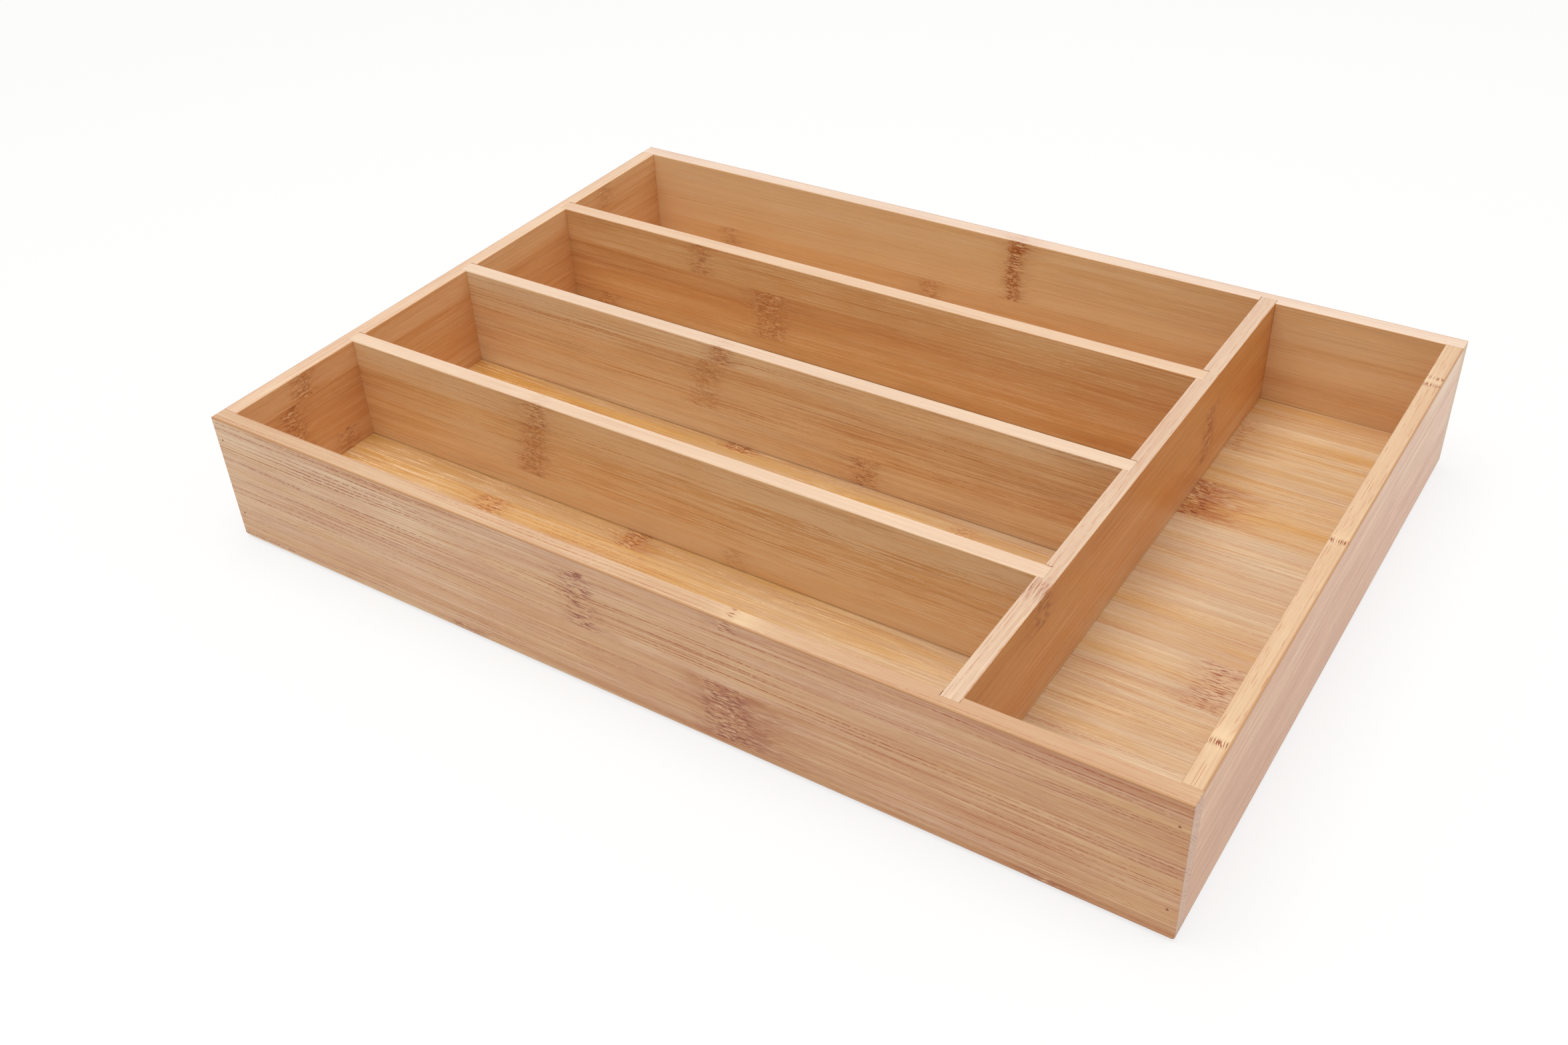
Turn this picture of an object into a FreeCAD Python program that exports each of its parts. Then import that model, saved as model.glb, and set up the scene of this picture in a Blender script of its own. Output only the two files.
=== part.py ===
import FreeCAD, Part
import os
import Sketcher
from FreeCAD import Placement, Rotation, Vector

# Cutlery tray of laminated bamboo boards: four long compartments side by side, one crosswise at the right.
# Millimetres, +Z up, +X to the right, +Y to the back. The origin is the middle of the tray's footprint.

SIZES = (
    ("length", 350, "outside, left to right"),
    ("width", 250, "outside, front to back"),
    ("height", 51, "outside, table to rim"),
    ("wall", 6, "thickness of the four outer boards"),
    ("divider", 6, "thickness of the inner boards"),
    ("end_room", 59.5, "clear width of the crosswise compartment"),
    ("floor_lift", 6, "table to the underside of the floor panel"),
    ("floor_thick", 5, "thickness of the floor panel"),
    ("groove_depth", 2.5, "how far the floor panel enters the outer boards"),
    ("dado_depth", 2.5, "how far a divider's end enters the board that holds it"),
    ("glue_gap", 0.05, "room for glue on each face of a joint"),
    ("foot_gap", 0.15, "between the floor panel and the foot of a divider"),
    ("bottom_round", 2.2, "radius along the outer bottom edges"),
    ("rim_round", 0.4, "radius along the outer edge of the rim"),
    ("corner_round", 0.4, "radius down the four outer corners"),
    ("inner_round", 0.4, "radius along the inner edge of the rim and the dividers' top edges"),
    ("pin_diameter", 0.8, "shank of a pin nail"),
    ("pin_length", 15, "head to tip of a pin nail"),
    ("pin_gap", 0.03, "between a pin nail and its hole, all round"),
    ("pin_rim_inset", 8.6, "rim to the upper pin nail of a corner"),
    ("pin_foot_inset", 11.6, "table to the lower pin nail of a corner"),
    ("overrun", 1, "how far a cut runs past the face that it opens"),
)
LONG_DIVIDERS = ("front_divider", "middle_divider", "rear_divider")
CUTS = ("PartDesign::Pocket", "PartDesign::Mirrored", "PartDesign::LinearPattern")
TOLERANCE = 1e-6

doc = FreeCAD.newDocument("cutlery_tray")
sheet = doc.addObject("Spreadsheet::Sheet", "Sizes")
for row, (alias, value, meaning) in enumerate(SIZES, start=1):
    sheet.set(f"A{row}", meaning)
    sheet.set(f"B{row}", str(value))
    sheet.setAlias(f"B{row}", alias)
doc.recompute()

# Short names for the cells, and places worked out from them, as expressions that the objects are bound to
LENGTH, WIDTH, HEIGHT = "Sizes.length", "Sizes.width", "Sizes.height"
WALL, DIVIDER = "Sizes.wall", "Sizes.divider"
GROOVE, DADO = "Sizes.groove_depth", "Sizes.dado_depth"
GLUE, OVERRUN = "Sizes.glue_gap", "Sizes.overrun"
FLOOR_TOP = "(Sizes.floor_lift + Sizes.floor_thick)"
FOOT = f"({FLOOR_TOP} + Sizes.foot_gap)"
DIVIDER_HEIGHT = f"({HEIGHT} - {FOOT})"
INSIDE_LENGTH = f"({LENGTH} - 2 * {WALL})"
INSIDE_WIDTH = f"({WIDTH} - 2 * {WALL})"
LANE = f"(({INSIDE_WIDTH} - {len(LONG_DIVIDERS)} * {DIVIDER}) / {len(LONG_DIVIDERS) + 1})"
PITCH = f"({LANE} + {DIVIDER})"
SPREAD = f"({PITCH} * {len(LONG_DIVIDERS) - 1})"
CROSS_RIGHT = f"({LENGTH} / 2 - {WALL} - Sizes.end_room)"
CROSS_MIDDLE = f"({CROSS_RIGHT} - {DIVIDER} / 2)"
CROSS_RUN = f"({INSIDE_WIDTH} + 2 * {DADO} - 2 * {GLUE})"
LONG_START = f"(-{LENGTH} / 2 + {WALL} - {DADO} + {GLUE})"
LONG_END = f"({CROSS_RIGHT} - {DIVIDER} + {DADO} - {GLUE})"
SIDE_RUN = f"({INSIDE_WIDTH} - 2 * {GLUE})"
PIN_X = f"({LENGTH} / 2 - {WALL} / 2)"
PIN_IN_SIDE = f"(Sizes.pin_length - {WALL})"
PIN_HEIGHTS = ("Sizes.pin_foot_inset", f"({HEIGHT} - Sizes.pin_rim_inset)")


def origin_item(body, role):
    return next(item for item in body.Origin.OriginFeatures if item.Role == role)


def place(item, turn_axis, turn, x, y, z):
    item.Placement = Placement(Vector(), Rotation(turn_axis, turn))
    for axis, expression in zip("xyz", (x, y, z)):
        item.setExpression(f"Placement.Base.{axis}", expression)


def new_body(label, turn, x, y, z):
    body = doc.addObject("PartDesign::Body", label)
    body.Label = label
    place(body, Vector(0, 0, 1), turn, x, y, z)
    return body


def new_sketch(body, name, role, offset="0"):
    sketch = body.newObject("Sketcher::SketchObject", name)
    sketch.AttachmentSupport = [(origin_item(body, role), "")]
    sketch.MapMode = "FlatFace"
    sketch.setExpression("AttachmentOffset.Base.z", offset)
    return sketch


def bind(sketch, name, expression, kind, *points):
    # A sketch dimension that follows an expression; it starts at 1 and takes its value at the next recompute
    sketch.renameConstraint(sketch.addConstraint(Sketcher.Constraint(kind, *points, 1)), name)
    sketch.setExpression(f"Constraints.{name}", expression)


def add_rectangle(sketch, left, right, low, high):
    # Each side is measured from the sketch's own origin
    corners = [Vector(0, 0), Vector(1, 0), Vector(1, 1), Vector(0, 1)]
    sides = [sketch.addGeometry(Part.LineSegment(a, b)) for a, b in zip(corners, corners[1:] + corners[:1])]
    for side, following in zip(sides, sides[1:] + sides[:1]):
        sketch.addConstraint(Sketcher.Constraint("Coincident", side, 2, following, 1))
    for side, direction in zip(sides, ("Horizontal", "Vertical") * 2):
        sketch.addConstraint(Sketcher.Constraint(direction, side))
    bottom, _, top, _ = sides
    bind(sketch, "left", left, "DistanceX", -1, 1, bottom, 1)
    bind(sketch, "right", right, "DistanceX", -1, 1, bottom, 2)
    bind(sketch, "low", low, "DistanceY", -1, 1, bottom, 1)
    bind(sketch, "high", high, "DistanceY", -1, 1, top, 1)


def add_corner_waste(sketch, across, up, radius):
    # What a rounding takes off an upper right corner: two straight sides and a quarter circle
    top = sketch.addGeometry(Part.LineSegment(Vector(0, 1), Vector(1, 1)))
    side = sketch.addGeometry(Part.LineSegment(Vector(1, 1), Vector(1, 0)))
    arc = sketch.addGeometry(Part.Arc(Vector(1, 0), Vector(2**-0.5, 2**-0.5), Vector(0, 1)))
    for constraint in (
        ("Coincident", top, 2, side, 1),
        ("Coincident", side, 2, arc, 1),
        ("Coincident", arc, 2, top, 1),
        ("Horizontal", top),
        ("Vertical", side),
        ("Vertical", arc, 3, top, 1),
        ("Horizontal", arc, 3, side, 2),
    ):
        sketch.addConstraint(Sketcher.Constraint(*constraint))
    bind(sketch, "across", across, "DistanceX", -1, 1, top, 2)
    bind(sketch, "up", up, "DistanceY", -1, 1, top, 2)
    bind(sketch, "radius", radius, "Radius", arc)


def add_pin_circles(sketch, across):
    # One hole for each pin nail of a corner, one above the other
    for number, up in enumerate(PIN_HEIGHTS):
        circle = sketch.addGeometry(Part.Circle(Vector(1, number), Vector(0, 0, 1), 1))
        bind(sketch, f"across{number}", across, "DistanceX", -1, 1, circle, 3)
        bind(sketch, f"up{number}", up, "DistanceY", -1, 1, circle, 3)
        bind(sketch, f"radius{number}", "Sizes.pin_diameter / 2 + Sizes.pin_gap", "Radius", circle)


def add_pad(body, sketch, name, depth, reverse=False):
    pad = body.newObject("PartDesign::Pad", name)
    pad.Profile = sketch
    pad.setExpression("Length", depth)
    pad.Reversed = reverse
    doc.recompute()
    return pad


def add_pocket(body, sketch, name, depth, both_ways=False):
    pocket = body.newObject("PartDesign::Pocket", name)
    pocket.Profile = sketch
    pocket.setExpression("Length", depth)
    pocket.Midplane = both_ways
    doc.recompute()
    return pocket


def cut_pin_holes(body, role, offset, across, depth):
    # The holes of one corner, and the same at the board's other end
    sketch = new_sketch(body, "pin_hole_outline", role, offset)
    add_pin_circles(sketch, across)
    corner_holes = add_pocket(body, sketch, "pin_holes", depth)
    mirror = body.newObject("PartDesign::Mirrored", "pin_holes_both_ends")
    mirror.Originals = [corner_holes]
    mirror.MirrorPlane = (origin_item(body, "YZ_Plane"), [""])
    body.Tip = mirror
    doc.recompute()


def touches(a, b):
    return abs(a - b) < TOLERANCE


def round_edges(body, name, radius, chosen):
    # Rounds the edges of the board whose middles pass the test
    base = body.Tip
    edges = [f"Edge{n}" for n, edge in enumerate(base.Shape.Edges, start=1) if chosen(edge.CenterOfMass)]
    fillet = body.newObject("PartDesign::Fillet", name)
    fillet.Base = (base, edges)
    fillet.setExpression("Radius", radius)
    doc.recompute()


# Every board is drawn standing on edge: X along it, outer face at Y = 0, inner face behind it, foot at Z = 0


def add_blank(body, run, thickness, tall):
    outline = new_sketch(body, "outline", "XZ_Plane")
    add_rectangle(outline, f"-{run} / 2", f"{run} / 2", "0", tall)
    return add_pad(body, outline, "blank", thickness, reverse=True).Shape.BoundBox


def cut_inner_face(body, name, thickness, depth, left, right, low, high):
    # A recess of a given depth in the inner face
    sketch = new_sketch(body, f"{name}_outline", "XZ_Plane", f"{depth} - {thickness}")
    add_rectangle(sketch, left, right, low, high)
    return add_pocket(body, sketch, name, f"{depth} + {OVERRUN}")


def cut_floor_groove(body, run):
    low, high = f"Sizes.floor_lift - {GLUE}", f"{FLOOR_TOP} + {GLUE}"
    cut_inner_face(body, "floor_groove", WALL, GROOVE, f"-{run} / 2", f"{run} / 2", low, high)


def cut_dado(body, thickness, middle, low):
    # A housing for a divider's end, open at the top
    half = f"({DIVIDER} / 2 + {GLUE})"
    left, right = f"{middle} - {half}", f"{middle} + {half}"
    return cut_inner_face(body, "dado", thickness, DADO, left, right, low, f"{HEIGHT} + {OVERRUN}")


def cut_dado_row(body, thickness, low):
    # One housing for each long divider
    first = cut_dado(body, thickness, f"-{SPREAD} / 2", low)
    row = body.newObject("PartDesign::LinearPattern", "dado_row")
    row.Originals = [first]
    row.Direction = (origin_item(body, "X_Axis"), [""])
    row.setExpression("Length", SPREAD)
    row.Occurrences = len(LONG_DIVIDERS)
    body.Tip = row
    doc.recompute()


def make_long_wall(label, turn, y, cross_middle):
    # Front or back board: its ends cover the side boards, so its outer edges are rounded all the way round
    body = new_body(label, turn, "0", y, "0")
    box = add_blank(body, LENGTH, WALL, HEIGHT)
    round_edges(
        body,
        "corner_rounding",
        "Sizes.corner_round",
        lambda middle: touches(middle.y, box.YMin) and touches(abs(middle.x), box.XMax),
    )
    round_edges(
        body,
        "rim_rounding",
        "Sizes.rim_round",
        lambda middle: touches(middle.z, box.ZMax) and not touches(middle.y, box.YMax),
    )
    round_edges(
        body,
        "bottom_rounding",
        "Sizes.bottom_round",
        lambda middle: touches(middle.z, box.ZMin) and not touches(middle.y, box.YMax),
    )
    waste = new_sketch(body, "inner_rim_outline", "YZ_Plane")
    add_corner_waste(waste, WALL, HEIGHT, "Sizes.inner_round")
    add_pocket(body, waste, "inner_rim_rounding", INSIDE_LENGTH, both_ways=True)
    cut_floor_groove(body, f"({INSIDE_LENGTH} + 2 * {GROOVE})")
    cut_dado(body, WALL, cross_middle, FLOOR_TOP)
    cut_pin_holes(body, "XZ_Plane", OVERRUN, PIN_X, f"{WALL} + 2 * {OVERRUN}")
    return body


def make_side_wall(label, turn, x):
    # Left or right board, butted between the front and back boards and pinned through them
    body = new_body(label, turn, x, "0", "0")
    box = add_blank(body, SIDE_RUN, WALL, HEIGHT)
    for name, radius, level, face in (
        ("rim_rounding", "Sizes.rim_round", box.ZMax, box.YMin),
        ("bottom_rounding", "Sizes.bottom_round", box.ZMin, box.YMin),
        ("inner_rim_rounding", "Sizes.inner_round", box.ZMax, box.YMax),
    ):
        round_edges(
            body, name, radius, lambda middle: touches(middle.z, level) and touches(middle.y, face)
        )
    cut_floor_groove(body, f"({SIDE_RUN} + 2 * {OVERRUN})")
    hole_end = f"{PIN_IN_SIDE} - {SIDE_RUN} / 2"
    cut_pin_holes(body, "YZ_Plane", hole_end, f"{WALL} / 2", f"{PIN_IN_SIDE} + {OVERRUN}")
    return body


def make_divider(label, turn, x, y, run):
    # Inner board: stands just clear of the floor, its top flush with the rim
    body = new_body(label, turn, x, y, FOOT)
    box = add_blank(body, run, DIVIDER, DIVIDER_HEIGHT)
    faces = (box.YMin, box.YMax)
    round_edges(
        body,
        "top_rounding",
        "Sizes.inner_round",
        lambda middle: touches(middle.z, box.ZMax) and any(touches(middle.y, face) for face in faces),
    )
    return body


def make_base_panel():
    body = new_body("base_panel", 0, "0", "0", "Sizes.floor_lift")
    outline = new_sketch(body, "outline", "XY_Plane")
    half_run, half_depth = (f"({clear} / 2 + {GROOVE} - {GLUE})" for clear in (INSIDE_LENGTH, INSIDE_WIDTH))
    add_rectangle(outline, f"-{half_run}", half_run, f"-{half_depth}", half_depth)
    add_pad(body, outline, "panel", "Sizes.floor_thick")
    return body


def make_pins(label, x, y, inward):
    # The pin nails of one corner, driven level with the outer face and lying along Y
    pins = []
    for number, up in enumerate(PIN_HEIGHTS):
        pin = doc.addObject("Part::Cylinder", f"{label}_{number}")
        pin.setExpression("Radius", "Sizes.pin_diameter / 2")
        pin.setExpression("Height", f"Sizes.pin_length - {GLUE}")
        place(pin, Vector(1, 0, 0), -90 * inward, x, y, up)
        pins.append(pin)
    group = doc.addObject("Part::Compound", label)
    group.Label = label
    group.Links = pins
    return group


FRONT_Y, BACK_Y = f"-{WIDTH} / 2", f"{WIDTH} / 2"
LEFT_X, RIGHT_X = f"-{LENGTH} / 2", f"{LENGTH} / 2"

left_wall = make_side_wall("left_wall", -90, LEFT_X)
cut_dado_row(left_wall, WALL, FLOOR_TOP)
cross_divider = make_divider("cross_divider", 90, CROSS_RIGHT, "0", CROSS_RUN)
cut_dado_row(cross_divider, DIVIDER, f"-{OVERRUN}")
nodes = [
    make_long_wall("front_wall", 0, FRONT_Y, CROSS_MIDDLE),
    make_long_wall("back_wall", 180, BACK_Y, f"-{CROSS_MIDDLE}"),
    left_wall,
    make_side_wall("right_wall", 90, RIGHT_X),
    cross_divider,
    make_base_panel(),
]
for number, label in enumerate(LONG_DIVIDERS):
    face_y = f"{number} * {PITCH} - {SPREAD} / 2 - {DIVIDER} / 2"
    middle_x = f"({LONG_START} + {LONG_END}) / 2"
    nodes.append(make_divider(label, 0, middle_x, face_y, f"({LONG_END} - {LONG_START})"))
for end, y, inward in (("front", FRONT_Y, 1), ("back", BACK_Y, -1)):
    for side, x in (("left", f"-{PIN_X}"), ("right", PIN_X)):
        nodes.append(make_pins(f"{end}_{side}_pins", x, y, inward))
doc.recompute()

# Every object has to be sound, and every cut has to take something away, before anything is written
for item in doc.Objects:
    if {"Invalid", "Error"} & set(item.State):
        raise RuntimeError(f"{item.Label} failed: {item.State}")
    if item.TypeId in CUTS and item.Shape.Volume > item.BaseFeature.Shape.Volume - TOLERANCE:
        raise RuntimeError(f"{item.Label} of {item.getParentGeoFeatureGroup().Label} cuts nothing")
for node in nodes:
    if node.Shape.isNull() or not node.Shape.isValid():
        raise RuntimeError(f"{node.Label} has no valid shape")

os.makedirs("parts", exist_ok=True)
for node in nodes:
    node.Shape.exportStep(f"parts/{node.Label}.step")
    print(node.Label, len(node.Shape.Solids), round(node.Shape.Volume, 1))
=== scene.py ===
import math

import bpy
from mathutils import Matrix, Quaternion, Vector


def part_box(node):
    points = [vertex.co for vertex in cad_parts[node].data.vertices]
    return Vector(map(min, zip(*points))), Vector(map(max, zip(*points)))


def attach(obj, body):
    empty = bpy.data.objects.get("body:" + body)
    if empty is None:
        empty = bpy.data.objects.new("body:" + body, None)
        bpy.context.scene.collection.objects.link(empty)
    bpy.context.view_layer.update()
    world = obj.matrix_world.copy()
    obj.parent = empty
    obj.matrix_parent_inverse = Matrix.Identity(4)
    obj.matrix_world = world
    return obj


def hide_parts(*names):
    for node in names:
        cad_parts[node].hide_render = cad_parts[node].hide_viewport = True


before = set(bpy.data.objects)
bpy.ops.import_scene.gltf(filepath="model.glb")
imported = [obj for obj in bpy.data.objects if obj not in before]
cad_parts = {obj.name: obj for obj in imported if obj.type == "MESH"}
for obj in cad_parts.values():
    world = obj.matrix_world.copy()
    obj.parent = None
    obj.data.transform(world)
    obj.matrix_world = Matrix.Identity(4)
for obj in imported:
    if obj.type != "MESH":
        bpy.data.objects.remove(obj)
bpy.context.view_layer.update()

millimetre = 0.001
white = (1.0, 1.0, 1.0, 1.0)
noiseMiddle = 0.5                # noise lies evenly round this value
print("frame loaded:", len(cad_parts), "nodes")


def toLinear(hexColour):
    shares = [int(hexColour[i:i + 2], 16) / 255 for i in (1, 3, 5)]
    linear = [s / 12.92 if s <= 0.04045 else ((s + 0.055) / 1.055) ** 2.4 for s in shares]  # sRGB curve
    return (*linear, 1.0)


# feeds gives each input a value, a node (its first output) or a socket; stops are a ramp's places, colours
def addNode(tree, kind, feeds=None, stops=None, **settings):
    node = tree.nodes.new(kind)
    for name, value in settings.items():
        setattr(node, name, value)
    for name, value in (feeds or {}).items():
        if isinstance(value, bpy.types.Node):
            value = value.outputs[0]
        if isinstance(value, bpy.types.NodeSocket):
            tree.links.new(value, node.inputs[name])
        else:
            node.inputs[name].default_value = value
    for count, (place, tint) in enumerate(stops or []):
        marks = node.color_ramp.elements
        mark = marks[count] if count < len(marks) else marks.new(place)
        mark.position = place
        mark.color = tint
    return node


numberSocket = "NodeSocketFloat"
wholeSocket = "NodeSocketInt"
vectorSocket = "NodeSocketVector"
colourSocket = "NodeSocketColor"
geometrySocket = "NodeSocketGeometry"
materialSocket = "NodeSocketMaterial"


def newGroup(name, kind, inputs, outputs):
    tree = bpy.data.node_groups.new(name, kind)
    for label, socket in inputs:
        tree.interface.new_socket(label, in_out="INPUT", socket_type=socket)
    for label, socket in outputs:
        tree.interface.new_socket(label, in_out="OUTPUT", socket_type=socket)
    return tree, tree.nodes.new("NodeGroupInput"), tree.nodes.new("NodeGroupOutput")


def newMaterial(name):
    material = bpy.data.materials.new(name)
    material.use_nodes = True
    tree = material.node_tree
    tree.nodes.clear()
    return material, tree, tree.nodes.new("ShaderNodeOutputMaterial")


# A knuckle is the ring that closes each joint of the cane. On a sawn strip it is a band across the grain:
# a speckled core (X), a stain that trails along the grain (Y) and short dark dashes round it (Z).
knuckle = {
    "ragged": (40, 3.2),         # mm along and across the grain: every fibre ends at its own place
    "raggedDetail": 3.0,
    "raggedRough": 0.65,         # how strong the finer scatter is
    "raggedShare": 2.2,          # half widths that the ends scatter over
    "coreEdge": (1.5, 0.5),      # half widths between which the core fades in
    "stainWiden": 1.5,           # stain width over core width
    "stainShift": 0.7,           # how far the stain's middle moves, of the smear
    "dashReach": 1.5,            # half widths that the dashes spread over
    "sameStrip": 0.4,            # strip numbers that differ by less are one strip
}


def knuckleGroup():
    numbers = ["Along", "Ragged", "Strip", "In strip", "Strip number", "Place", "Half width", "Lean",
               "Smear", "Core", "Stain", "Dashes"]
    tree, given, out = newGroup(
        "bambooKnuckle", "ShaderNodeTree",
        [("Marks", vectorSocket)] + [(name, numberSocket) for name in numbers],
        [("Marks", vectorSocket)])
    get = given.outputs
    off = addNode(tree, "ShaderNodeMath", {0: get["Along"], 1: get["Place"]}, operation="SUBTRACT")
    leaning = addNode(tree, "ShaderNodeMath", {0: get["Lean"], 1: get["In strip"]}, operation="MULTIPLY")
    straight = addNode(tree, "ShaderNodeMath", {0: off, 1: leaning}, operation="SUBTRACT")
    even = addNode(tree, "ShaderNodeMath", {0: straight, 1: get["Half width"]}, operation="DIVIDE")
    ratio = addNode(tree, "ShaderNodeMath", operation="MULTIPLY_ADD", feeds={
        0: get["Ragged"], 1: knuckle["raggedShare"], 2: even})
    side = addNode(tree, "ShaderNodeMath", {0: ratio}, operation="ABSOLUTE")
    fadeFrom, fadeTo = knuckle["coreEdge"]
    core = addNode(tree, "ShaderNodeMapRange", {"Value": side, "From Min": fadeFrom, "From Max": fadeTo})

    # stain and dashes fall off as a bell curve, the stain on the side that the smear points to
    trail = addNode(tree, "ShaderNodeMath", {0: get["Smear"]}, operation="ABSOLUTE")
    wide = addNode(tree, "ShaderNodeMath", operation="MULTIPLY_ADD", feeds={
        0: get["Half width"], 1: knuckle["stainWiden"], 2: trail})
    trailing = addNode(tree, "ShaderNodeMath", operation="MULTIPLY_ADD", feeds={
        0: get["Smear"], 1: -knuckle["stainShift"], 2: straight})
    stainRatio = addNode(tree, "ShaderNodeMath", {0: trailing, 1: wide}, operation="DIVIDE")
    dashRatio = addNode(tree, "ShaderNodeMath", {0: ratio, 1: knuckle["dashReach"]}, operation="DIVIDE")
    shapes = [core]
    for spread in (stainRatio, dashRatio):
        square = addNode(tree, "ShaderNodeMath", {0: spread, 1: spread}, operation="MULTIPLY")
        fall = addNode(tree, "ShaderNodeMath", {0: square, 1: -1.0}, operation="MULTIPLY")
        shapes.append(addNode(tree, "ShaderNodeMath", {0: fall}, operation="EXPONENT"))

    # only its own strip shows it, and it is added to the marks of the knuckles before it
    same = addNode(tree, "ShaderNodeMath", operation="COMPARE", feeds={
        0: get["Strip"], 1: get["Strip number"], 2: knuckle["sameStrip"]})
    parts = []
    for shape, name in zip(shapes, ("Core", "Stain", "Dashes")):
        strength = addNode(tree, "ShaderNodeMath", {0: same, 1: get[name]}, operation="MULTIPLY")
        parts.append(addNode(tree, "ShaderNodeMath", {0: shape, 1: strength}, operation="MULTIPLY"))
    mark = addNode(tree, "ShaderNodeCombineXYZ", dict(enumerate(parts)))
    total = addNode(tree, "ShaderNodeVectorMath", {0: get["Marks"], 1: mark}, operation="ADD")
    tree.links.new(total.outputs[0], out.inputs["Marks"])
    return tree


# Strip bamboo pressed side by side, planed, sanded and sealed with clear satin lacquer: long straight
# fibres, thin dark bundle lines, pale threads (pale fibres, partly painted glints on raised fibres) and a
# soft sheen that pales at a low angle.
# Single fibres are 0.02 mm thick: the finest here are drawn about 0.3 mm wide, so that they show at all.
fibre = {
    "wave": (80, 8),                 # mm along and across the grain, as in all the pairs below
    "waveReach": 0.8,                # mm, a fibre is never quite straight
    "swirl": (10, 6),
    "swirlReach": 0.6,               # mm, fibres turn aside at a knuckle
    "swayDetail": 1.0,
    "patterns": {
        "drift": (190, 11), "cloud": (35, 14), "band": (200, 2.6), "strand": (90, 0.75), "hair": (40, 0.42),
        "fleck": (5, 0.4), "hue": (70, 5), "crowd": (120, 5), "fray": (1.6, 0.35), "gather": (110, 13),
        "streak": (9, 0.7), "patch": (2.2, 1.4), "chip": (3.2, 0.55), "dash": (4, 0.5), "dot": (0.75, 0.55),
    },
    "patternDetail": 1.5,
    "toneWeights": {"drift": 0.4, "cloud": 0.3, "band": 0.3, "strand": 0.45, "hair": 0.55, "fleck": 0.3},
    "toneGain": 1.8,                 # tone to share of dark or pale
    "hueGain": 1.8,                  # noise to share of warm wood
    "cuts": {                        # noise levels where a pattern begins and is whole, its least share
        "crowd": (0.36, 0.60, 0.1), "fray": (0.38, 0.54, 0.2), "gather": (0.40, 0.58, 0.3),
        "streak": (0.35, 0.62, 0.2), "patch": (0.42, 0.58, 0.1), "chip": (0.55, 0.61, 0.0),
        "dash": (0.54, 0.585, 0.0), "dot": (0.58, 0.67, 0.0),
    },
    "rows": {                        # thin lines: mm apart, long, wide at foot and crown; two noise levels
        "line": (1.25, 70, 0.75, 0.2, 0.40, 0.60), "paleFibreGlint": (0.85, 18, 0.5, 0.16, 0.48, 0.60),
        "nick": (0.95, 10, 0.27, 0.09, 0.54, 0.63), "tick": (0.75, 6, 0.38, 0.12, 0.32, 0.44),
    },
    "rowMiddle": (0.2, 0.8),         # share of a row's width between which its line lies
    "rowStep": 7.31,                 # sets the noise of one row well apart from the next
    "gains": {
        "line": 1.35, "paleFibreGlint": 1.3, "nick": 0.8, "bleach": 0.6, "stain": 0.4, "patch": 0.45, "chip": 0.8,
        "dash": 0.95, "tick": 0.9, "dot": 0.65,
    },
    "colours": {
        "dark": "#AE601E", "pale": "#F8E2BC", "line": "#A8541A", "paleFibreGlint": "#EED2A8", "nick": "#B0682A",
        "bleach": "#F2D4A6", "stain": "#A65C26", "patch": "#B2662A", "chip": "#E6BC8C", "dash": "#92441A",
        "tick": "#925226", "dot": "#84401A",
    },
    "heights": {"line": -0.8, "paleFibreGlint": 0.4, "nick": -0.8, "dash": -1.0, "dot": -1.2},
    "rough": (0.40, 0.12),           # satin lacquer, and how much rougher a bundle line is
}


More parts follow.
